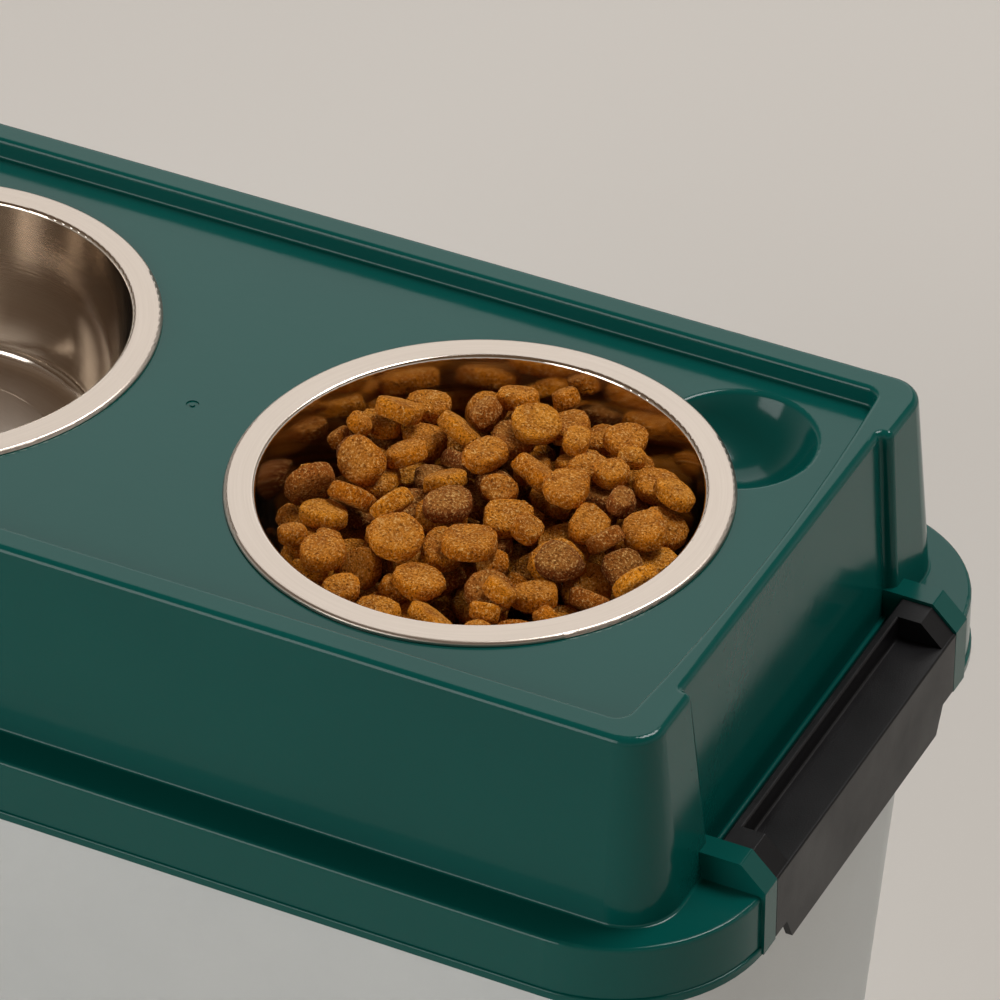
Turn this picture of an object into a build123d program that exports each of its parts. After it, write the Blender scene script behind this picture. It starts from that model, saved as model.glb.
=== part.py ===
from build123d import *
import os
from math import cos, radians, tan

# Raised pet feeder with a storage tub: a moulded lid carries two steel bowls, closes the tub
# with a soft seal, and is held down by a hinged snap latch at each end.
# Frame: origin on the floor under the middle of the tub, +X along the length, +Z up. Millimetres.

os.makedirs("parts", exist_ok=True)

# ---------------------------------------------------------------- driving sizes
# whole feeder
overall_height = 312.0      # floor to the top of the lid's raised border

# lid: drafted box with a sunk deck
box_length = 431.0          # outside, at the top
box_depth = 213.0
box_corner = 12.0           # corner radius at the top
box_rise = 69.1             # ledge to the top of the border
box_draft = 5.0             # degrees, walls flare downwards
lid_wall = 2.6
border_side = 10.3          # width of the raised border along the front and the back
border_end = 9.1            # and at the middle of the two ends
border_rise = 7.5           # border above the deck
deck_bow = 4.5              # the deck's ends bow out by this much between its corners
deck_corner = 5.0
border_round = 2.5          # outer top edge
border_inner_round = 1.8
deck_foot_round = 1.0
border_slot_end = 6.0       # hollow under the border stops this far from the deck's corners

# end recess between the corner pillars
recess_width = 149.8        # at the top
recess_depth = 3.9
recess_draft = 3.0          # degrees, the recess narrows downwards
pillar_round = 2.6
recess_inner_round = 1.25

# ledge and skirt round the box's foot
ledge_end = 20.9            # width of the ledge at the two ends
ledge_side = 14.5           # and along the front and the back
flange_corner = 52.0
skirt_height = 23.0         # ledge to the skirt's lower edge
ledge_round = 1.4
skirt_bead = 0.8            # rolled lower edge stands this far proud
skirt_bead_height = 3.0
bead_round = 0.75
foot_round = 0.9            # where the box meets the ledge

# seal and the channel that holds it
seal_width = 5.0
seal_height = 3.1
seal_inset = 8.5            # flange edge to the middle of the seal
seal_side_clear = 0.2
seal_round = 1.2            # lower edges
seal_rest_gap = 0.3         # seal to the tub's rim, taken up as the latches pull down
seat_drop = 2.2             # ledge underside to the seat of the seal
channel_wall = 1.6
channel_depth = 2.1

# tub
tub_wall = 3.0
tub_draft = 4.5             # degrees
tub_floor = 3.0
foot_ring_height = 2.0
foot_ring_width = 12.0
tub_base_round = 5.0
tub_rim_thickness = 2.5
tub_rim_round = 0.8
tub_lip_height = 13.5
tub_rim_clear = 1.2         # rim to the inside of the skirt
tub_corner = 39.0           # outside, at the rim
tub_wall_inset = 9.9        # flange edge to the tub's wall along front and back
tub_end_inset = 17.3        # and at the ends
rim_rib_thickness = 2.0
rim_rib_pitch = 58.0
rim_rib_height = 8.0
plug_clear = 1.5            # locating rib of the lid to the tub's inside
plug_depth = 7.0            # how far it enters below the rim
plug_wall = 2.2

# bowls
bowl_end_gap = 110.0        # end of the lid's box to the bowl's axis
bowl_forward = 2.0          # the bowls stand this far in front of the middle
bowl_rim_radius = 82.7
bowl_rim_width = 10.1
bowl_taper = 10.6           # mouth to base, in radius
bowl_height = 58.8
bowl_sheet = 0.8
bowl_rim_bend = 1.4
bowl_base_bend = 7.0
bowl_curl = 1.5             # height of the rolled edge
bowl_dish_inset = 17.0      # base's edge to the disc pressed into it
bowl_dish_step = 1.2
bowl_seat_gap = 0.2         # rolled edge to the deck
bowl_hole_clear = 1.6

# finger scoops at the back of the deck, next to the bowls
scoop_radius = 28.2
scoop_depth = 16.5
scoop_lip = 2.4
scoop_end_gap = 48.4        # end of the lid's box to the scoop's axis
scoop_back_gap = 46.0       # back of the lid's box to the scoop's axis

# latches
latch_top_drop = 1.1        # cheek top to latch top
cheek_rise = 10.3           # cheek above the ledge
cheek_thickness = 8.7
cheek_step = 1.15           # the cheek's inner face stands this far into the recess
cheek_proud = 1.2           # beyond the flange's end
cheek_flat = 8.8            # outer end of the flat top, in from the outer face
cheek_round = 0.8
notch_ledge = 1.2           # strip of ledge left at the recess's foot
latch_side_gap = 0.4
latch_round = 0.8
latch_heel = 1.5            # chamfer under the inner bar
latch_wall = 2.4
latch_bar_width = 3.3
latch_reach = 19.9          # inner bar to outer face
latch_cap = 9.4             # length of each closed end
trough_depth = 7.9
trough_floor = 2.1
latch_skirt = 31.5          # latch top to the lower edge at the closed ends
pull_drop = 9.5             # the pull edge hangs lower between the ends
pull_inset = 13.0           # end of the latch to the pull edge
trunnion_radius = 2.1
trunnion_clear = 0.08
trunnion_length = 4.6
trunnion_in = 4.0           # inner bar face to trunnion axis
trunnion_down = 4.4         # latch top to trunnion axis
catch_angle = 55.0          # degrees, sloping faces of hook and rim
catch_chamfer = 1.8
catch_grip = 1.6            # hook reaches this far under the rim
catch_gap = 0.4
hook_inset = 18.0           # end of the latch to the hook
hook_tip = 0.6              # blunt face of the hook's tip

# small marks and ribs
gate_radius = 2.2
gate_depth = 0.4
gate_nub = 0.9
hole_collar = 7.0
collar_wall = 2.4
deck_rib_thickness = 1.8
deck_rib_height = 11.0
deck_rib_offset = 14.0

# ---------------------------------------------------------------- derived places
deck_z = overall_height - border_rise
ledge_z = overall_height - box_rise
skirt_z = ledge_z - skirt_height
seat_z = ledge_z - lid_wall - seat_drop
seal_z = seat_z - seal_height
rim_z = seal_z - seal_rest_gap
lip_z = rim_z - tub_lip_height
bowl_x = box_length / 2 - bowl_end_gap
bowl_y = -bowl_forward
bowl_mouth_radius = bowl_rim_radius - bowl_rim_width
bowl_base_radius = bowl_mouth_radius - bowl_taper
bowl_dish_radius = bowl_base_radius - bowl_dish_inset
scoop_x = box_length / 2 - scoop_end_gap
scoop_y = box_depth / 2 - scoop_back_gap
rim_plane_z = deck_z + bowl_seat_gap + bowl_curl
hole_radius = bowl_mouth_radius + bowl_sheet + bowl_hole_clear
box_foot_x = box_length / 2 + box_rise * tan(radians(box_draft))
box_foot_y = box_depth / 2 + box_rise * tan(radians(box_draft))
half_flange = box_foot_x + ledge_end
half_flange_y = box_foot_y + ledge_side
cheek_gap = recess_width / 2 - box_rise * tan(radians(recess_draft)) - cheek_step
outer_x = half_flange + cheek_proud
inner_x = outer_x - latch_reach
cheek_z = ledge_z + cheek_rise
latch_z = cheek_z - latch_top_drop
latch_half = cheek_gap - latch_side_gap
trough_z = latch_z - trough_depth
pivot_x = inner_x + trunnion_in
pivot_z = latch_z - trunnion_down
rim_half_x = half_flange - lid_wall - tub_rim_clear
tub_half_x = half_flange - tub_end_inset
tub_half_y = half_flange_y - tub_wall_inset
shelf_x = rim_half_x + 0.5
deck_half_x = box_length / 2 - border_end
deck_half_y = box_depth / 2 - border_side
recess_foot_x = box_foot_x - recess_depth
cheek_root_x = recess_foot_x - lid_wall / 2


def slab(half_x, half_y, corner, low, high):
    """Upright block with rounded corners between two heights."""
    return Pos(0, 0, low) * extrude(RectangleRounded(2 * half_x, 2 * half_y, corner), high - low)


def inset_slab(inset, low, high):
    """Block that follows the flange's outline, set in by inset."""
    return slab(half_flange - inset, half_flange_y - inset, flange_corner - inset, low, high)


def both_ends(*pieces):
    """Each piece and its mirror image at the other end."""
    return [*pieces, *(piece.mirror(Plane.YZ) for piece in pieces)]


def box_outline(z, inset=0.0):
    """Plan of the lid's box at height z: a rounded rectangle with a recess in each end."""
    drop = overall_height - z
    grow = drop * tan(radians(box_draft)) - inset
    half_x = box_length / 2 + grow
    half_y = box_depth / 2 + grow
    recess_half = recess_width / 2 - drop * tan(radians(recess_draft)) + inset
    floor_x = half_x - recess_depth
    plan = Rectangle(2 * half_x, 2 * half_y)
    for side in (-1, 1):
        plan -= Pos(side * half_x, 0) * Rectangle(2 * recess_depth, 2 * recess_half)
    on_recess = [v for v in plan.vertices() if abs(abs(v.Y) - recess_half) < 0.01]
    pillar = [v for v in on_recess if abs(v.X) > floor_x + 0.01]
    inner = [v for v in on_recess if abs(v.X) < floor_x + 0.01]
    convex, concave = (pillar_round, recess_inner_round)[:: -1 if inset else 1]
    plan = fillet(pillar, convex)
    inner = [v for v in plan.vertices() if abs(abs(v.X) - floor_x) < 0.01]
    plan = fillet(inner, concave)
    corners = [v for v in plan.vertices() if abs(abs(v.Y) - half_y) < 0.01]
    plan = fillet(corners, box_corner + grow)
    return Pos(0, 0, z) * plan


def box_loft(low, high, inset=0.0):
    """The lid's drafted box between two heights, set in by inset."""
    return loft([box_outline(low, inset), box_outline(high, inset)], ruled=True)


def edges_at(part, z, tolerance=0.02):
    """Edges that lie wholly at one height."""
    level = part.edges().filter_by(lambda e: e.bounding_box().size.Z < tolerance)
    return level.filter_by(lambda e: abs(e.center().Z - z) < tolerance)


def ring(outer, inner):
    """What lies between two nested blocks."""
    return outer - inner


def across(points, half_width, round_at=None, radius=0.0):
    """Section drawn in the XZ plane and run along Y to both sides of the middle."""
    section = Plane.XZ * make_face(Polyline(*points, close=True))
    if round_at:
        places = [Vector(x, 0, z) for x, z in round_at]
        chosen = [v for v in section.vertices() if min((Vector(v) - p).length for p in places) < 0.01]
        section = fillet(chosen, radius)
    return extrude(section, half_width, both=True)


# ---------------------------------------------------------------- storage tub
def tub_block(inset, low, high):
    """Drafted block of the tub, widest at the rim."""
    def plan(z):
        shrink = (rim_z - z) * tan(radians(tub_draft)) + inset
        return Pos(0, 0, z) * RectangleRounded(
            2 * (tub_half_x - shrink), 2 * (tub_half_y - shrink), tub_corner - shrink)
    return loft([plan(low), plan(high)], ruled=True)


def make_tub():
    floor_z = foot_ring_height + tub_floor
    outside = tub_block(0, 0, rim_z)
    outside = fillet(edges_at(outside, 0), tub_base_round)
    inside = tub_block(tub_wall, floor_z, rim_z + 0.01)
    inside = fillet(edges_at(inside, floor_z), tub_base_round)

    # rolled rim: a flat top and a lip turned down, with an undercut edge for the hooks
    rim_inset = half_flange - rim_half_x
    lip = inset_slab(rim_inset, lip_z, rim_z)
    lip = fillet(edges_at(lip, rim_z), tub_rim_round)
    lip = chamfer(edges_at(lip, lip_z), catch_chamfer * tan(radians(catch_angle)), catch_chamfer)
    hollow = inset_slab(rim_inset + tub_rim_thickness, lip_z - 1, rim_z - tub_rim_thickness)
    rim = ring(lip, hollow)

    # stiffening ribs under the rim, evenly spaced along all four sides
    rib_low = rim_z - tub_rim_thickness - rim_rib_height
    bars = []
    for count_axis, half, across_half in ((0, tub_half_x, tub_half_y), (1, tub_half_y, tub_half_x)):
        count = int((half - tub_corner) // rim_rib_pitch)
        for k in range(-count, count + 1):
            size = [rim_rib_thickness, 2 * (across_half + tub_end_inset)]
            place = [k * rim_rib_pitch, 0]
            if count_axis:
                size.reverse()
                place.reverse()
            bars.append(Pos(*place, rib_low + rim_rib_height / 2) * Box(*size, rim_rib_height))
    ribs = Part() + bars
    ribs &= inset_slab(rim_inset + tub_rim_thickness / 2, rib_low, rim_z - tub_rim_thickness)

    # the base stands on a ring, its middle is raised
    base_half_x = tub_half_x - rim_z * tan(radians(tub_draft)) - tub_base_round - foot_ring_width
    base_half_y = tub_half_y - rim_z * tan(radians(tub_draft)) - tub_base_round - foot_ring_width
    raised = slab(base_half_x, base_half_y, tub_base_round * 2, -1, foot_ring_height)
    return outside + [rim, ribs] - [inside, raised]


# ---------------------------------------------------------------- lid
def scoop_sphere():
    """Radius and centre height of the sphere that the rounded lip and the deck are tangent to."""
    reach = (scoop_radius**2 + scoop_depth**2) / (2 * scoop_depth)
    radius = reach - scoop_lip
    return radius, deck_z - scoop_depth + radius


def arc_about(centre, start, end):
    """Shorter arc between two points round a centre."""
    radius = (Vector(start) - Vector(centre)).length
    middle = ((Vector(start) + Vector(end)) * 0.5 - Vector(centre)).normalized() * radius
    return ThreePointArc(start, Vector(centre) + middle, end)


def make_scoop_tool():
    """Solid that cuts a scoop: the sphere's lower part with a flared, rounded lip."""
    radius, centre_z = scoop_sphere()
    lip_centre = Vector(scoop_radius, deck_z - scoop_lip)
    centre = Vector(0, centre_z)
    join = centre + (lip_centre - centre).normalized() * radius
    bottom = Vector(0, centre_z - radius)
    top = deck_z + 1
    section = make_face([
        arc_about(centre, bottom, join),
        arc_about(lip_centre, join, Vector(scoop_radius, deck_z)),
        Polyline((scoop_radius, deck_z), (scoop_radius, top), (0, top), bottom),
    ])
    return revolve(Plane.XZ * section, Axis.Z)


def make_scoop_shell():
    """Sphere of the lid's wall thickness round the scoop, below the deck."""
    radius, centre_z = scoop_sphere()
    under = Pos(0, 0, deck_z - lid_wall / 2 - radius) * Box(4 * radius, 4 * radius, 2 * radius)
    return (Pos(0, 0, centre_z) * Sphere(radius + lid_wall)) & under


def make_cheek():
    """Right-hand cheek behind one latch: a strip with a flat top and a sloped outer corner."""
    slope_x = outer_x - cheek_flat
    strip = across([
        (cheek_root_x, cheek_z), (slope_x, cheek_z), (outer_x, cheek_z - cheek_flat),
        (outer_x, skirt_z), (half_flange - lid_wall, skirt_z),
        (half_flange - lid_wall, ledge_z - lid_wall), (cheek_root_x, ledge_z - lid_wall),
    ], cheek_thickness / 2, [(slope_x, cheek_z), (outer_x, cheek_z - cheek_flat)], cheek_round)
    strip = Pos(0, cheek_gap + cheek_thickness / 2, 0) * strip
    bearing = Pos(pivot_x, cheek_gap, pivot_z) * Rot(-90, 0, 0) * Cylinder(
        trunnion_radius + trunnion_clear, trunnion_length + latch_side_gap,
        align=(Align.CENTER, Align.CENTER, Align.MIN))
    return strip - bearing


def make_brim():
    """Ledge and skirt with a rolled lower edge."""
    brim = inset_slab(0, skirt_z, ledge_z)
    brim = fillet(edges_at(brim, ledge_z), ledge_round)
    bead = inset_slab(-skirt_bead, skirt_z, skirt_z + skirt_bead_height)
    bead = fillet(edges_at(bead, skirt_z + skirt_bead_height), bead_round)
    return brim + bead - inset_slab(lid_wall, skirt_z - 1, ledge_z - lid_wall)


def deck_plan():
    """Plan of the deck: straight along the front and the back, bowed at both ends."""
    corner_x = deck_half_x - deck_bow
    plan = make_face([
        Line((-corner_x, -deck_half_y), (corner_x, -deck_half_y)),
        ThreePointArc((corner_x, -deck_half_y), (deck_half_x, 0), (corner_x, deck_half_y)),
        Line((corner_x, deck_half_y), (-corner_x, deck_half_y)),
        ThreePointArc((-corner_x, deck_half_y), (-deck_half_x, 0), (-corner_x, -deck_half_y)),
    ])
    return fillet(plan.vertices(), deck_corner)


def make_deck_box():
    """Drafted box with the deck sunk inside a raised border."""
    box = box_loft(seat_z, overall_height)
    box = fillet(edges_at(box, overall_height), border_round)
    box -= Pos(0, 0, deck_z) * extrude(deck_plan(), border_rise + 1)
    box = fillet(edges_at(box, deck_z), deck_foot_round)
    top = edges_at(box, overall_height)
    return fillet([e for e in top if is_inside_border(e)], border_inner_round)


def is_inside_border(edge):
    centre = edge.center()
    return abs(centre.X) < deck_half_x + 0.1 and abs(centre.Y) < deck_half_y + 0.1


def is_box_foot(edge):
    reach = edge.bounding_box().max
    low = edge.bounding_box().min
    return max(reach.X, -low.X) < box_foot_x + 0.1


def make_lid():
    lid = make_deck_box() + make_brim()
    lid = fillet([e for e in edges_at(lid, ledge_z) if is_box_foot(e)], foot_round)

    # an opening for each latch, with a shelf lower down that carries the seal across
    notch = Box(2 * half_flange, 2 * cheek_gap, overall_height)
    notch = Pos(recess_foot_x + notch_ledge + half_flange, 0, overall_height / 2) * notch
    lid -= both_ends(notch)
    shelf_length = shelf_x - cheek_root_x
    shelf = Box(shelf_length, 2 * cheek_gap + 1, lid_wall)
    shelf = Pos(cheek_root_x + shelf_length / 2, 0, seat_z + lid_wall / 2) * shelf
    cheek = make_cheek()

    # channel that holds the seal, and the rib that centres the lid in the tub
    reach_out = seal_inset - seal_width / 2 - seal_side_clear
    reach_in = seal_inset + seal_width / 2 + seal_side_clear
    channel_z = seat_z - channel_depth
    channel = ring(inset_slab(reach_out - channel_wall, channel_z, ledge_z - lid_wall),
                   inset_slab(reach_in + channel_wall, channel_z - 1, ledge_z))
    groove = ring(inset_slab(reach_out, channel_z - 1, seat_z),
                  inset_slab(reach_in, channel_z - 2, seat_z + 1))
    plug_size = [tub_half_x - tub_wall - plug_clear, tub_half_y - tub_wall - plug_clear,
                 tub_corner - tub_wall - plug_clear]
    plug_hollow = [size - plug_wall for size in plug_size]
    plug = ring(slab(*plug_size, rim_z - plug_depth, ledge_z - lid_wall),
                slab(*plug_hollow, rim_z - plug_depth - 1, ledge_z))
    lid += [*both_ends(shelf, cheek, cheek.mirror(Plane.XZ)), channel, plug]

    # hollow underside: the box's inside, kept within the plug rib below the ledge
    keep = inset_slab(0, seat_z - 2, ledge_z) - slab(*plug_hollow, seat_z - 3, ledge_z + 1)
    hollow = box_loft(seat_z - 1, deck_z - lid_wall, lid_wall) - keep
    slot = Box(2 * (deck_half_x - border_slot_end), border_side - 2 * lid_wall, border_rise)
    slot = Pos(0, deck_half_y + border_side / 2, overall_height - lid_wall - border_rise / 2) * slot
    lid -= [groove, hollow, slot, slot.mirror(Plane.XZ)]

    # collars round the bowl openings, scoop shells and ribs under the deck
    under_z = deck_z - lid_wall
    rib_z = under_z - deck_rib_height / 2
    long_rib = Pos(0, 0, rib_z) * Box(2 * (deck_half_x + lid_wall), deck_rib_thickness, deck_rib_height)
    cross_rib = Pos(deck_rib_offset, 0, rib_z) * Box(
        deck_rib_thickness, 2 * (deck_half_y + lid_wall), deck_rib_height)
    collar = Pos(bowl_x, bowl_y, under_z - hole_collar) * extrude(
        Circle(hole_radius + collar_wall), hole_collar + 1)
    shell = Pos(scoop_x, scoop_y, 0) * make_scoop_shell()
    lid += [long_rib, *both_ends(cross_rib, collar, shell)]
    opening = Pos(bowl_x, bowl_y, under_z - scoop_depth) * extrude(Circle(hole_radius), 2 * scoop_depth)
    scoop = Pos(scoop_x, scoop_y, 0) * make_scoop_tool()

    # gate mark between the two bowls
    gate = Pos(0, bowl_y, deck_z - gate_depth) * extrude(Circle(gate_radius) - Circle(gate_nub), 1)
    return lid - [*both_ends(opening, scoop), gate]


def make_gasket():
    seal = inset_slab(seal_inset - seal_width / 2, seal_z, seat_z)
    seal -= inset_slab(seal_inset + seal_width / 2, seal_z - 1, seat_z + 1)
    return fillet(edges_at(seal, seal_z), seal_round)


# ---------------------------------------------------------------- bowls
def make_bowl():
    """Pressed sheet bowl: its upper surface is drawn from the axis out to the rolled edge."""
    base_z = rim_plane_z - bowl_height + bowl_sheet
    corners = [
        (bowl_dish_radius, base_z + bowl_dish_step, bowl_dish_step / 2),
        (bowl_dish_radius + bowl_dish_step, base_z, bowl_dish_step / 2),
        (bowl_base_radius, base_z, bowl_base_bend),
        (bowl_mouth_radius, rim_plane_z, bowl_rim_bend),
        (bowl_rim_radius, rim_plane_z, bowl_rim_bend),
    ]
    line = Polyline((0, base_z + bowl_dish_step), *[c[:2] for c in corners],
                    (bowl_rim_radius, rim_plane_z - bowl_curl))
    for x, z, bend in corners:
        near = min(line.vertices(), key=lambda v: (Vector(v) - Vector(x, z)).length)
        line = fillet(near, bend)
    sheet = make_face(offset(line, bowl_sheet, side=Side.RIGHT, closed=True))
    return revolve(Plane.XZ * sheet, Axis.Z)


# ---------------------------------------------------------------- latches
def make_latch():
    """Right-hand latch, pivoted between the cheeks: finger trough, outer wall and hook."""
    low_z = latch_z - latch_skirt
    wall_x = outer_x - latch_wall
    under_z = trough_z - trough_floor
    slope_x = outer_x - cheek_flat
    slope_z = latch_z - cheek_flat
    bar_x = inner_x + latch_bar_width
    heel = [(inner_x + latch_heel, under_z), (inner_x, under_z + latch_heel)]

    # open trough along the middle, a solid block at each end
    rounded = [(inner_x, latch_z), (bar_x, latch_z), (bar_x, trough_z), (outer_x, trough_z),
               (wall_x, under_z)]
    middle = across([*heel, (inner_x, latch_z), (bar_x, latch_z), (bar_x, trough_z),
                     (outer_x, trough_z), (outer_x, low_z), (wall_x, low_z), (wall_x, under_z)],
                    latch_half, rounded, latch_round)
    block = across([*heel, (inner_x, latch_z), (slope_x, latch_z), (outer_x, slope_z),
                    (outer_x, low_z), (wall_x, low_z), (wall_x, under_z)],
                   latch_cap / 2, [(inner_x, latch_z), (slope_x, latch_z), (outer_x, slope_z)],
                   latch_round)
    core = across([(inner_x + latch_wall, under_z - 1), (inner_x + latch_wall, latch_z - latch_wall),
                   (slope_x - latch_wall / 2, latch_z - latch_wall),
                   (wall_x, slope_z), (wall_x, under_z - 1)], latch_cap / 2 - latch_wall)
    cap = Pos(0, latch_half - latch_cap / 2, 0) * block
    pocket = Pos(0, latch_half - latch_cap / 2, 0) * core
    latch = middle + cap + cap.mirror(Plane.XZ)
    latch -= pocket + pocket.mirror(Plane.XZ)

    # pull edge, lower between the ends, its own ends sloped
    pull_low = latch_half - pull_inset
    pull_high = latch_half - pull_inset + pull_drop / 2
    pull = Plane.YZ * make_face(Polyline(
        (-pull_high, low_z + 1), (pull_high, low_z + 1), (pull_high, low_z),
        (pull_low, low_z - pull_drop), (-pull_low, low_z - pull_drop), (-pull_high, low_z),
        close=True))
    latch += Pos(wall_x, 0, 0) * extrude(pull, latch_wall)

    # hook: its upper face is parallel to the sloping underside of the tub's rim
    slope = tan(radians(catch_angle))
    tip_x = rim_half_x - catch_grip
    edge_x = rim_half_x - catch_chamfer
    tip_z = lip_z + (tip_x - edge_x) * slope - catch_gap / cos(radians(catch_angle))
    lead_z = tip_z - hook_tip - (wall_x - tip_x)
    latch += across([(tip_x, tip_z), (wall_x + 1, tip_z + (wall_x + 1 - tip_x) * slope),
                     (wall_x + 1, lead_z - 1), (tip_x, tip_z - hook_tip)], latch_half - hook_inset)

    # trunnions
    pin = Pos(pivot_x, latch_half - 1, pivot_z) * Rot(-90, 0, 0) * Cylinder(
        trunnion_radius, trunnion_length + 1, align=(Align.CENTER, Align.CENTER, Align.MIN))
    return latch + pin + pin.mirror(Plane.XZ)


# ---------------------------------------------------------------- export
bowl = make_bowl()
latch = make_latch()
nodes = {
    "storage_tub": make_tub(),
    "lid": make_lid(),
    "lid_gasket": make_gasket(),
    "bowl_left": Pos(-bowl_x, bowl_y, 0) * bowl,
    "bowl_right": Pos(bowl_x, bowl_y, 0) * bowl,
    "latch_left": latch.mirror(Plane.YZ),
    "latch_right": latch,
}
for name, shape in nodes.items():
    export_step(shape, f"parts/{name}.step")
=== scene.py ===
import math

import bpy
import numpy as np
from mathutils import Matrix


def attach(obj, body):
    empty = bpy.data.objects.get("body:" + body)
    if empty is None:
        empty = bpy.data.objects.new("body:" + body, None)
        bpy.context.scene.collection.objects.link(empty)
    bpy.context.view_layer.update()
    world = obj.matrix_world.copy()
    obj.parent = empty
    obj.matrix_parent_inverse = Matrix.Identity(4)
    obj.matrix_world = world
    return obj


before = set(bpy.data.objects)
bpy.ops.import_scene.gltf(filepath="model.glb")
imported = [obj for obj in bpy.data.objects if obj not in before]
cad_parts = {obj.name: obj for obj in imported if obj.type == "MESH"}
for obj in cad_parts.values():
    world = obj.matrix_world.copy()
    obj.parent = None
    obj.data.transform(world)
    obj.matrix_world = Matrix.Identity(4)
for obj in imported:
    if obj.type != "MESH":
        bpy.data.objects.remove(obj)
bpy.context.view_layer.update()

scene = bpy.context.scene
scene.view_settings.view_transform = "Standard"


# ------------------------------------------------------------------ camera
# Looks down on the right bowl over the front right corner, through a long lens that stands
# more than two metres away, so the upright edges stay almost parallel.
LENS_MM = 236.25
YAW = math.radians(26.638)
PITCH = math.radians(36.541)

camera = bpy.data.objects.new("camera", bpy.data.cameras.new("camera"))
camera.data.lens = LENS_MM
camera.data.sensor_width = 36
camera.data.clip_end = 100
camera.location = (0.8723, -1.5165, 1.5585)
camera.rotation_euler = (math.pi / 2 - PITCH, 0, YAW)
scene.collection.objects.link(camera)
scene.camera = camera


# ------------------------------------------------------------------ storage tub
# The tapered bin that holds the food: injection-moulded polypropylene, pale grey and slightly
# milky, with the fine matt finish of its tool. Its wall sways a little, as thin wide walls do.
def tone(code, alpha=1.0):
    """Linear colour of an sRGB hex code: a power of 2.4 above the straight foot of the curve."""
    parts = [int(code[i:i + 2], 16) / 255 for i in (1, 3, 5)]
    linear = [c / 12.92 if c <= 0.04045 else ((c + 0.055) / 1.055) ** 2.4 for c in parts]
    return (*linear, alpha)


def add(tree, kind, sockets=None, **settings):
    """Adds a node. Sockets maps an input to a value, or to the output that feeds it."""
    node = tree.nodes.new(kind)
    for name, value in settings.items():
        setattr(node, name, value)
    for key, value in (sockets or {}).items():
        if isinstance(value, bpy.types.NodeSocket):
            tree.links.new(value, node.inputs[key])
        else:
            node.inputs[key].default_value = value
    return node


def start_finish(name, **shader_values):
    """A new material with its shader: returns the material, its tree, shader and coordinates."""
    material = bpy.data.materials.new(name)
    material.use_nodes = True
    tree = material.node_tree
    shader = tree.nodes["Principled BSDF"]
    for key, value in shader_values.items():
        shader.inputs[key.replace("_", " ")].default_value = value
    place = add(tree, "ShaderNodeTexCoord").outputs["Object"]
    return material, tree, shader, place


def per_mm(size):
    """Noise scale, per metre, at which one blotch is about the given number of millimetres."""
    return 1000 / size


def dress(node, material):
    """Gives a CAD node its finish."""
    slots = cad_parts[node].material_slots
    if not slots:
        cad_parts[node].data.materials.append(None)
    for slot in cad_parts[node].material_slots:
        slot.link = "OBJECT"
        slot.material = material


# The tool's grain is drawn about twice as coarse as it is, so that it shows.
tub_plastic, tree, shader, place = start_finish(
    "moulded milky polypropylene", IOR=1.49,
    Subsurface_Weight=0.12, Subsurface_Scale=0.004, Subsurface_Radius=(1.0, 1.0, 0.9))
cloud = add(tree, "ShaderNodeTexNoise", {"Vector": place, "Scale": per_mm(60), "Detail": 3.0})
colour = add(tree, "ShaderNodeMix", {
    0: cloud.outputs["Fac"], 6: tone("#b9bdbd"), 7: tone("#c3c6c5")}, data_type="RGBA")
tree.links.new(colour.outputs[2], shader.inputs["Base Color"])
grain = add(tree, "ShaderNodeTexNoise", {"Vector": place, "Scale": per_mm(0.9), "Detail": 4.0})
matt = add(tree, "ShaderNodeMapRange", {0: grain.outputs["Fac"], 3: 0.42, 4: 0.58})
tree.links.new(matt.outputs[0], shader.inputs["Roughness"])
sway = add(tree, "ShaderNodeTexNoise", {"Vector": place, "Scale": per_mm(45), "Detail": 1.0})
soft = add(tree, "ShaderNodeBump", {
    "Height": sway.outputs["Fac"], "Distance": 0.0006, "Strength": 0.6})
fine = add(tree, "ShaderNodeBump", {
    "Height": grain.outputs["Fac"], "Distance": 0.00006, "Normal": soft.outputs[0]})
tree.links.new(fine.outputs[0], shader.inputs["Normal"])
dress("storage_tub", tub_plastic)


# ------------------------------------------------------------------ seal
# A soft silicone ring, moulded in one and pressed into the channel under the lid, where it meets
# the tub's rim. Silicone is dull, pale and lets a little light in.
seal_rubber, tree, shader, place = start_finish(
    "moulded silicone", IOR=1.41, Subsurface_Weight=0.2, Subsurface_Scale=0.002)
skin = add(tree, "ShaderNodeTexNoise", {"Vector": place, "Scale": per_mm(1.5), "Detail": 3.0})
colour = add(tree, "ShaderNodeMix", {
    0: skin.outputs["Fac"], 6: tone("#b4b4ae"), 7: tone("#c6c6c0")}, data_type="RGBA")
tree.links.new(colour.outputs[2], shader.inputs["Base Color"])
dull = add(tree, "ShaderNodeMapRange", {0: skin.outputs["Fac"], 3: 0.5, 4: 0.7})
tree.links.new(dull.outputs[0], shader.inputs["Roughness"])
bump = add(tree, "ShaderNodeBump", {"Height": skin.outputs["Fac"], "Distance": 0.0001})
tree.links.new(bump.outputs[0], shader.inputs["Normal"])
dress("lid_gasket", seal_rubber)


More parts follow.
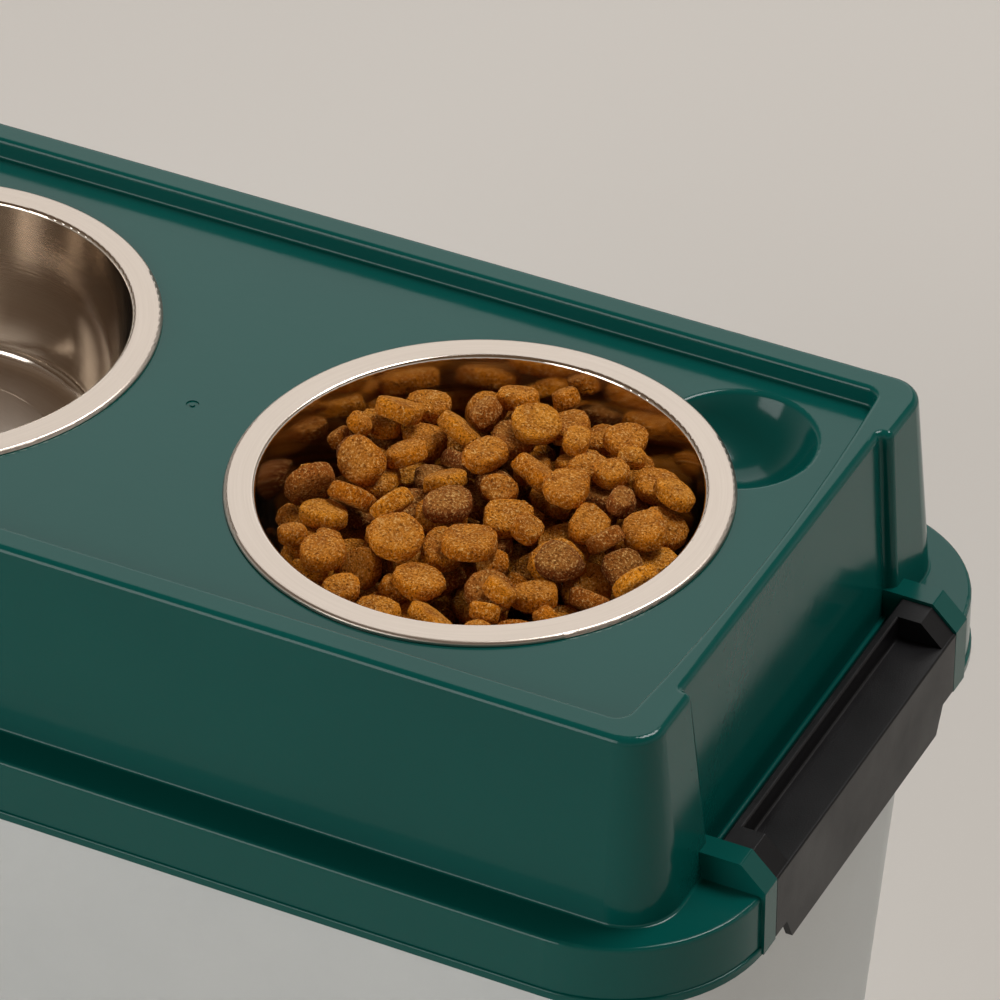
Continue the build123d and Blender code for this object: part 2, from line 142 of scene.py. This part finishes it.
# ------------------------------------------------------------------ lid
# One large moulding in deep green polypropylene from a polished tool: glossy, with the slight
# waves, the flow marks in its gloss and the faint skin that such a thin wide part cools into.
lid_plastic, tree, shader, place = start_finish(
    "moulded green polypropylene", IOR=1.49, Specular_IOR_Level=0.24)
mottle = add(tree, "ShaderNodeTexNoise", {"Vector": place, "Scale": per_mm(80), "Detail": 3.0})
green = add(tree, "ShaderNodeMix", {
    0: mottle.outputs["Fac"], 6: tone("#03443f"), 7: tone("#044c46")}, data_type="RGBA")
tree.links.new(green.outputs[2], shader.inputs["Base Color"])
haze = add(tree, "ShaderNodeTexNoise", {"Vector": place, "Scale": per_mm(16), "Detail": 5.0})
gloss = add(tree, "ShaderNodeMapRange", {0: haze.outputs["Fac"], 1: 0.3, 2: 0.7, 3: 0.12, 4: 0.17})
tree.links.new(gloss.outputs[0], shader.inputs["Roughness"])
peel = add(tree, "ShaderNodeTexNoise", {"Vector": place, "Scale": per_mm(4), "Detail": 2.0})
wave = add(tree, "ShaderNodeBump", {
    "Height": mottle.outputs["Fac"], "Distance": 0.0004, "Strength": 0.3})
skin = add(tree, "ShaderNodeBump", {
    "Height": peel.outputs["Fac"], "Distance": 0.00002, "Normal": wave.outputs[0]})
tree.links.new(skin.outputs[0], shader.inputs["Normal"])
dress("lid", lid_plastic)


# ------------------------------------------------------------------ latches
# Snap latches in black polypropylene that turn on trunnions moulded on their ends. Their tool is
# textured, so they are satin, and their edges catch a thin line of light.
# The grain is drawn about twice as coarse as it is.
latch_plastic, tree, shader, place = start_finish(
    "moulded black polypropylene", IOR=1.49, Specular_IOR_Level=0.2)
cloud = add(tree, "ShaderNodeTexNoise", {"Vector": place, "Scale": per_mm(25), "Detail": 3.0})
black = add(tree, "ShaderNodeMix", {
    0: cloud.outputs["Fac"], 6: tone("#09080a"), 7: tone("#100f11")}, data_type="RGBA")
tree.links.new(black.outputs[2], shader.inputs["Base Color"])
grain = add(tree, "ShaderNodeTexNoise", {"Vector": place, "Scale": per_mm(0.6), "Detail": 3.0})
satin = add(tree, "ShaderNodeMapRange", {0: cloud.outputs["Fac"], 1: 0.3, 2: 0.7, 3: 0.3, 4: 0.42})
tree.links.new(satin.outputs[0], shader.inputs["Roughness"])
bump = add(tree, "ShaderNodeBump", {"Height": grain.outputs["Fac"], "Distance": 0.00005})
tree.links.new(bump.outputs[0], shader.inputs["Normal"])
dress("latch_left", latch_plastic)
dress("latch_right", latch_plastic)


# ------------------------------------------------------------------ bowls
# Pressed from stainless steel sheet, and hung in the lid by the rim. The rim is brushed in rings on
# a lathe and looks almost white, the wall is polished and mirrors what is near, and the floor is
# satin. The brush lines are drawn coarser than they are.
BOWL_X = 0.1055         # each bowl's axis, out from the middle and to the back
BOWL_Y = -0.002
RIM_INSIDE = 0.0728     # where the flat rim turns down into the bowl
FLOOR_TOP = 0.2505      # just above the bowl's floor
FINISH_EDGE = 0.001     # over which one finish turns into the next
BRUSH_DRIFT = 0.0012    # metres of pattern to a radian: few, so that the lines run on round the bowl

bowl_steel, tree, shader, place = start_finish("brushed stainless steel", Metallic=1.0)
axes = add(tree, "ShaderNodeSeparateXYZ", {0: place})
side = add(tree, "ShaderNodeMath", {0: axes.outputs[0]}, operation="ABSOLUTE")
east = add(tree, "ShaderNodeMath", {0: side.outputs[0], 1: BOWL_X}, operation="SUBTRACT")
north = add(tree, "ShaderNodeMath", {0: axes.outputs[1], 1: BOWL_Y}, operation="SUBTRACT")
flat = add(tree, "ShaderNodeCombineXYZ", {0: east.outputs[0], 1: north.outputs[0]})
radius = add(tree, "ShaderNodeVectorMath", {0: flat.outputs[0]}, operation="LENGTH")
angle = add(tree, "ShaderNodeMath", {0: north.outputs[0], 1: east.outputs[0]}, operation="ARCTAN2")
drift = add(tree, "ShaderNodeMath", {0: angle.outputs[0], 1: BRUSH_DRIFT}, operation="MULTIPLY")
rings = add(tree, "ShaderNodeCombineXYZ", {
    0: radius.outputs["Value"], 1: drift.outputs[0], 2: axes.outputs[2]})
brush = add(tree, "ShaderNodeTexNoise", {
    "Vector": rings.outputs[0], "Scale": per_mm(0.5), "Detail": 4.0, "Roughness": 0.6})
on_rim = add(tree, "ShaderNodeMapRange", {
    0: radius.outputs["Value"], 1: RIM_INSIDE, 2: RIM_INSIDE + FINISH_EDGE})
on_floor = add(tree, "ShaderNodeMapRange", {
    0: axes.outputs[2], 1: FLOOR_TOP, 2: FLOOR_TOP - FINISH_EDGE})
polished = add(tree, "ShaderNodeMix", {
    0: brush.outputs["Fac"], 6: tone("#c8beb2"), 7: tone("#d9cfc4")}, data_type="RGBA")
brushed = add(tree, "ShaderNodeMix", {
    0: brush.outputs["Fac"], 6: tone("#b2a79c"), 7: tone("#c5bbb0")}, data_type="RGBA")
steel = add(tree, "ShaderNodeMix", {
    0: on_rim.outputs[0], 6: polished.outputs[2], 7: brushed.outputs[2]}, data_type="RGBA")
tree.links.new(steel.outputs[2], shader.inputs["Base Color"])
flats = add(tree, "ShaderNodeMath", {
    0: on_rim.outputs[0], 1: on_floor.outputs[0]}, operation="MAXIMUM")
satin = add(tree, "ShaderNodeMapRange", {0: flats.outputs[0], 3: 0.07, 4: 0.3})
rough = add(tree, "ShaderNodeMath", {
    0: brush.outputs["Fac"], 1: 0.08, 2: satin.outputs[0]}, operation="MULTIPLY_ADD")
tree.links.new(rough.outputs[0], shader.inputs["Roughness"])
bump = add(tree, "ShaderNodeBump", {
    "Height": brush.outputs["Fac"], "Distance": 0.00004, "Strength": 0.4})
tree.links.new(bump.outputs[0], shader.inputs["Normal"])
dress("bowl_left", bowl_steel)
dress("bowl_right", bowl_steel)


# ------------------------------------------------------------------ dry food
# Baked kibble heaped loose in the right bowl: thick puffed discs, sandy and matt, some roasted
# darker than others. Each is dropped where it comes to lie lowest. Those in sight get a finer mesh
# than those that fill the bowl below them. Sizes in this section are in millimetres.
BOWL_FLOOR_Z = 248.2    # inside of the bowl
BOWL_BASE = 61.0
BOWL_WALL = 10.6        # how much wider the mouth is
BOWL_DEEP = 58.0
LIP_TOP = 63.2          # no piece stands above the lid's border
HEAP_EDGE = 53.0        # height of the heap at the bowl's wall and in its middle
HEAP_MIDDLE = 61.5
HEAP_SINK = 3.2         # a piece's middle lies at least this far below the heap's surface
HEAP_RADIUS = BOWL_BASE + 6.0   # within which the pieces' middles fall
HALF_WIDTH = (8.1, 10.8)        # least and most
HALF_THICKNESS = (3.3, 4.2)
NARROWING = (0.72, 1.0)         # second width, as a share of the first
SMALL_SHARE = 0.2               # of the pieces, which are broken smaller by this factor
SMALL_FACTOR = (0.6, 0.8)
LYING_SHARE = 0.7               # of the pieces lie almost flat, the others stand or lean
LYING_TILT = 0.38               # radians, the spread of their tilt
LEANING_TILT = (0.6, 1.4)
PLACES_TRIED = 36
MOST_MISSES = 140       # pieces that found no room before the bowl counts as full
GRID_STEP = 1.0
GRID_REACH = 90         # steps from the bowl's axis to the height field's edge
PIECE_REACH = 11        # and from a piece's middle to the edge of its own window
FAR = 1e3               # stands for no height at all
SIDE_POWER = 0.4        # the lower, the straighter a piece's side
FACE_POWER = 0.45       # and the flatter its two faces
OUTLINE_POWER = (2.0, 3.0)      # from round to squarish
OUTLINE_WAVE = 0.07             # at most, as a share of the radius
DRAWN_SIZE = 0.845      # of the falling ellipsoid's, as a flat-faced piece is fuller than that
LUMP_WAVES = 5
LUMP_HEIGHT = 0.016     # of each wave, as a share of the piece's size
LUMP_BEND = 2.3         # radians that a wave usually turns from a piece's middle to its edge
LUMP_START = 6.3        # radians, about a full turn, in which it starts anywhere
SIGHT_DEPTH = 14.0      # pieces deeper than this under the heap's surface are hidden


def turn(axis_angles):
    """Rotation matrices from tilt about X and then spin about Z, one for each row."""
    tilt, spin = axis_angles.T
    ct, st, cs, ss = np.cos(tilt), np.sin(tilt), np.cos(spin), np.sin(spin)
    zero, one = np.zeros_like(ct), np.ones_like(ct)
    lean = np.stack([one, zero, zero, zero, ct, -st, zero, st, ct], -1).reshape(-1, 3, 3)
    swing = np.stack([cs, -ss, zero, ss, cs, zero, zero, zero, one], -1).reshape(-1, 3, 3)
    return swing @ lean


def heap_food(seed):
    """Drops pieces one by one on a height field: each takes the lowest of some random places.

    A piece is an ellipsoid while it falls: its under and upper heights at each grid point are the
    two roots of the quadratic that its turned matrix gives there. It comes to rest where the
    ground first meets its underside, and then its upper side is part of the ground.
    """
    rng = np.random.default_rng(seed)
    line = np.arange(-GRID_REACH, GRID_REACH + 1) * GRID_STEP
    east, north = np.meshgrid(line, line, indexing="ij")
    out = np.hypot(east, north)
    ground = np.clip((out - BOWL_BASE) / BOWL_WALL * BOWL_DEEP, 0, None)
    ground[out > BOWL_BASE + BOWL_WALL] = FAR
    near = np.arange(-PIECE_REACH, PIECE_REACH + 1) * GRID_STEP
    dx, dy = np.meshgrid(near, near, indexing="ij")
    placed = []
    misses = 0
    while misses < MOST_MISSES:
        size = np.array([rng.uniform(*HALF_WIDTH), 0, rng.uniform(*HALF_THICKNESS)])
        size[1] = size[0] * rng.uniform(*NARROWING)
        if rng.random() < SMALL_SHARE:
            size[:2] *= rng.uniform(*SMALL_FACTOR)
        best = None
        for _ in range(PLACES_TRIED):
            r = HEAP_RADIUS * math.sqrt(rng.uniform(0, 1))
            a = rng.uniform(0, 2 * math.pi)
            i = int(round(r * math.cos(a) / GRID_STEP)) + GRID_REACH
            j = int(round(r * math.sin(a) / GRID_STEP)) + GRID_REACH
            lying = rng.random() < LYING_SHARE
            tilt = abs(rng.normal(0, LYING_TILT)) if lying else rng.uniform(*LEANING_TILT)
            turned = turn(np.array([[tilt, rng.uniform(0, 2 * math.pi)]]))[0]
            m = turned @ np.diag(1 / size**2) @ turned.T
            b = m[0, 2] * dx + m[1, 2] * dy
            c = m[0, 0] * dx**2 + 2 * m[0, 1] * dx * dy + m[1, 1] * dy**2 - 1
            inside = b**2 - m[2, 2] * c
            hit = inside > 0
            root = np.sqrt(np.where(hit, inside, 0))
            low = np.where(hit, (-b - root) / m[2, 2], FAR)
            window = ground[i - PIECE_REACH:i + PIECE_REACH + 1, j - PIECE_REACH:j + PIECE_REACH + 1]
            rest = np.max(np.where(hit, window - low, -FAR))
            if best is None or rest < best[0]:
                high = np.where(hit, (-b + root) / m[2, 2], -FAR)
                best = (rest, i, j, turned, high, window)
        rest, i, j, turned, high, window = best
        r = math.hypot(line[i], line[j])
        ceiling = HEAP_EDGE + (HEAP_MIDDLE - HEAP_EDGE) * (1 - (r / (BOWL_BASE + BOWL_WALL)) ** 2)
        if rest > ceiling - HEAP_SINK or rest + high.max() > LIP_TOP:
            misses += 1
            continue
        window[:] = np.maximum(window, rest + high)
        placed.append((size, turned, (line[i], line[j], rest)))
    return placed, ground


def puff(sizes, turns, middles, around, upward, rng):
    """Baked pieces: flat-faced discs and pillows with rounded edges and a few soft lumps.

    A piece is a sphere whose height is the sine of the latitude u, and whose radius is its cosine,
    each raised to a power below 1, which flattens the faces and straightens the side. The radius
    is also multiplied by the outline, (|cos v|^n + |sin v|^n)^(-1/n) at the longitude v, which is
    round at n = 2 and squarish above, and by waves of two and three to the turn. Sums of sines of
    the place then swell and sink it. The cut is near 1 on the faces and near 0 round the side.
    """
    count = len(sizes)
    u = (np.arange(1, upward) / upward - 0.5) * math.pi
    v = np.arange(around) / around * 2 * math.pi
    u, v = (grid[None] for grid in np.meshgrid(u, v, indexing="ij"))
    n = rng.uniform(*OUTLINE_POWER, (count, 1, 1))
    h = rng.uniform(0.0, OUTLINE_WAVE, (2, count, 1, 1))
    p = rng.uniform(0, 2 * math.pi, (2, count, 1, 1))
    outline = (np.abs(np.cos(v)) ** n + np.abs(np.sin(v)) ** n) ** (-1 / n)
    outline = outline * (1 + h[0] * np.cos(2 * v + p[0]) + h[1] * np.cos(3 * v + p[1]))
    across = np.cos(u) ** SIDE_POWER * outline
    rise = np.sign(np.sin(u)) * np.abs(np.sin(u)) ** FACE_POWER + 0 * across
    points = np.stack([across * np.cos(v), across * np.sin(v), rise], -1).reshape(count, -1, 3)
    poles = np.tile(np.array([[[0, 0, -1.0], [0, 0, 1.0]]]), (count, 1, 1))
    points = np.concatenate([points, poles], 1)
    cut = np.abs(points[:, :, 2]) ** 4
    lumps = np.zeros(points.shape[:2])
    for _ in range(LUMP_WAVES):
        wave = rng.normal(0, LUMP_BEND, (count, 1, 3))
        lumps += np.sin((points * wave).sum(-1) + rng.uniform(0, LUMP_START, (count, 1)))
    points = points * sizes[:, None, :] * (DRAWN_SIZE + LUMP_HEIGHT * lumps[..., None])
    points = np.einsum("nij,nkj->nki", turns, points) + middles[:, None, :]
    ring = np.arange(around)
    low = np.arange(upward - 2)[:, None] * around
    quads = np.stack([low + ring, low + (ring + 1) % around, low + around + (ring + 1) % around,
                      low + around + ring], -1).reshape(-1, 4)
    south = (upward - 1) * around
    top = (upward - 2) * around
    caps = np.concatenate([
        np.stack([np.full(around, south), (ring + 1) % around, ring], -1),
        np.stack([np.full(around, south + 1), top + ring, top + (ring + 1) % around], -1)])
    per_piece = points.shape[1]
    shift = np.arange(count)[:, None, None] * per_piece
    return (points.reshape(-1, 3), (quads + shift).reshape(-1, 4), (caps + shift).reshape(-1, 3),
            cut.ravel(), per_piece)


def make_food(name, chosen, around, upward, seed):
    """One mesh of many baked pieces. Attributes keep each one's roast and its cut faces."""
    rng = np.random.default_rng(seed)
    sizes = np.array([piece[0] for piece in chosen])
    turns = np.array([piece[1] for piece in chosen])
    middles = np.array([piece[2] for piece in chosen])
    middles = middles + (BOWL_X * 1000, BOWL_Y * 1000, BOWL_FLOOR_Z)
    points, quads, caps, cut, per_piece = puff(sizes, turns, middles, around, upward, rng)
    mesh = bpy.data.meshes.new(name)
    mesh.vertices.add(len(points))
    mesh.vertices.foreach_set("co", (points / 1000).ravel())
    corners = np.concatenate([quads.ravel(), caps.ravel()])
    starts = np.concatenate([np.arange(len(quads)) * 4, quads.size + np.arange(len(caps)) * 3])
    mesh.loops.add(len(corners))
    mesh.loops.foreach_set("vertex_index", corners)
    mesh.polygons.add(len(starts))
    mesh.polygons.foreach_set("loop_start", starts)
    mesh.polygons.foreach_set("use_smooth", np.ones(len(starts), bool))
    mesh.update(calc_edges=True)
    mesh.validate()
    roast = mesh.attributes.new("roast", "FLOAT", "POINT")
    roast.data.foreach_set("value", np.repeat(rng.random(len(chosen)), per_piece))
    mesh.attributes.new("cut", "FLOAT", "POINT").data.foreach_set("value", cut)
    piece = bpy.data.objects.new(name, mesh)
    scene.collection.objects.link(piece)
    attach(piece, "bowl_right")
    return piece


food, ground = heap_food(seed=7)
surface = [ground[int(round(x / GRID_STEP)) + GRID_REACH, int(round(y / GRID_STEP)) + GRID_REACH]
           for _, _, (x, y, _) in food]
shown = [piece for piece, top in zip(food, surface) if piece[2][2] > top - SIGHT_DEPTH]
hidden = [piece for piece, top in zip(food, surface) if piece[2][2] <= top - SIGHT_DEPTH]
food_top = make_food("dry_food_top", shown, around=14, upward=9, seed=11)
food_below = make_food("dry_food_below", hidden, around=8, upward=5, seed=12)

# Crumbs and pores are drawn about twice as coarse as they are, so that they show. The pores' dark
# brown is painted shade in the grain's low points. The pale crumbs on its high points are partly the
# crumbs' own colour and partly painted highlight.
kibble, tree, shader, place = start_finish(
    "baked kibble", IOR=1.45, Roughness=0.85, Specular_IOR_Level=0.12)
roast = add(tree, "ShaderNodeAttribute", attribute_name="roast").outputs["Fac"]
cut = add(tree, "ShaderNodeAttribute", attribute_name="cut").outputs["Fac"]
bake = add(tree, "ShaderNodeValToRGB", {0: roast})
ramp = bake.color_ramp
ramp.elements[0].position = 0.0
ramp.elements[0].color = tone("#7e4218")
ramp.elements[1].position = 1.0
ramp.elements[1].color = tone("#ea931a")
for position, code in ((0.15, "#925020"), (0.24, "#cc7408"), (0.7, "#e0850f")):
    ramp.elements.new(position).color = tone(code)
paler = add(tree, "ShaderNodeMath", {0: cut, 1: 0.5}, operation="MULTIPLY")
crust = add(tree, "ShaderNodeMix", {
    0: paler.outputs[0], 6: bake.outputs[0], 7: tone("#c4873a")}, data_type="RGBA")
patch = add(tree, "ShaderNodeTexNoise", {"Vector": place, "Scale": per_mm(5), "Detail": 3.0})
dark = add(tree, "ShaderNodeMapRange", {0: patch.outputs["Fac"], 1: 0.42, 2: 0.7, 3: 0.0, 4: 0.6})
brown = add(tree, "ShaderNodeMix", {
    0: dark.outputs[0], 6: crust.outputs[2], 7: tone("#8f4910")}, data_type="RGBA")
crumb = add(tree, "ShaderNodeTexNoise", {
    "Vector": place, "Scale": per_mm(0.85), "Detail": 2.5, "Roughness": 0.7})
# Pale specks on the high points of the grain's bump: partly the crumbs' own colour, partly painted
# highlight.
light = add(tree, "ShaderNodeMapRange", {0: crumb.outputs["Fac"], 1: 0.54, 2: 0.66, 3: 0.0, 4: 0.6})
crumbs_and_highlight = add(tree, "ShaderNodeMix", {
    0: light.outputs[0], 6: brown.outputs[2], 7: tone("#ffd084")}, data_type="RGBA")
# Painted shade: dark brown in the low points of the grain's bump, where the pores' hollows would be
# shaded.
pore_shade_mask = add(tree, "ShaderNodeMapRange", {0: crumb.outputs["Fac"], 1: 0.34, 2: 0.46, 3: 0.75, 4: 0.0})
with_pore_shade = add(tree, "ShaderNodeMix", {
    0: pore_shade_mask.outputs[0], 6: crumbs_and_highlight.outputs[2], 7: tone("#4a2209")}, data_type="RGBA")
tree.links.new(with_pore_shade.outputs[2], shader.inputs["Base Color"])
pit = add(tree, "ShaderNodeTexVoronoi", {"Vector": place, "Scale": per_mm(2.0)})
coarse = add(tree, "ShaderNodeBump", {
    "Height": pit.outputs["Distance"], "Distance": 0.0012, "Strength": 0.6})
rough = add(tree, "ShaderNodeBump", {
    "Height": crumb.outputs["Fac"], "Distance": 0.002, "Normal": coarse.outputs[0]})
tree.links.new(rough.outputs[0], shader.inputs["Normal"])
food_top.data.materials.append(kibble)
food_below.data.materials.append(kibble)


# ------------------------------------------------------------------ floor and light
# A pale floor that runs out of sight in a room that is pale low down and brown-grey overhead.
# A lamp stands high behind on the right, a wide window-like one far behind on the left lays a
# veil on the deck, and a low one at the front left draws the light line along the front edge.
FLOOR_HALF = 12.0
LIT_POINT = (0.05, 0, 0.3)      # what the lamps face: the deck, between its middle and right bowl

floor_mesh = bpy.data.meshes.new("floor")
floor_mesh.from_pydata([(-FLOOR_HALF, -FLOOR_HALF, 0), (FLOOR_HALF, -FLOOR_HALF, 0),
                        (FLOOR_HALF, FLOOR_HALF, 0), (-FLOOR_HALF, FLOOR_HALF, 0)],
                       [], [(0, 1, 2, 3)])
floor = bpy.data.objects.new("floor", floor_mesh)
scene.collection.objects.link(floor)
floor_paint, tree, shader, place = start_finish(
    "matt floor paint", Base_Color=tone("#cbc8c3"), Roughness=0.9, Specular_IOR_Level=0.1)
floor_mesh.materials.append(floor_paint)

world = bpy.data.worlds.new("room")
scene.world = world
world.use_nodes = True
sky = world.node_tree
way = add(sky, "ShaderNodeTexCoord").outputs["Generated"]
up = add(sky, "ShaderNodeSeparateXYZ", {0: way}).outputs[2]
high = add(sky, "ShaderNodeMapRange", {0: up, 1: 0.05, 2: 0.7}, interpolation_type="SMOOTHSTEP")
room = add(sky, "ShaderNodeMix", {
    0: high.outputs[0], 6: tone("#dcdad6"), 7: tone("#66523f")}, data_type="RGBA")
sky.links.new(room.outputs[2], sky.nodes["Background"].inputs["Color"])


def hang_lamp(name, place, size, power):
    """Square soft lamp that faces the lit point."""
    lamp = bpy.data.lights.new(name, "AREA")
    lamp.shape = "SQUARE"
    lamp.size = size
    lamp.energy = power
    holder = bpy.data.objects.new(name, lamp)
    holder.location = place
    east, north, rise = np.array(LIT_POINT) - np.array(place)
    tip = math.atan2(math.hypot(east, north), -rise)
    holder.rotation_euler = (tip, 0, math.atan2(-east, north))
    scene.collection.objects.link(holder)


hang_lamp("key lamp", place=(0.7, 1.0, 2.7), size=1.1, power=50)
hang_lamp("window", place=(-1.25, 2.58, 2.44), size=2.4, power=23)
hang_lamp("front lamp", place=(-0.95, -2.2, 1.15), size=1.5, power=30)
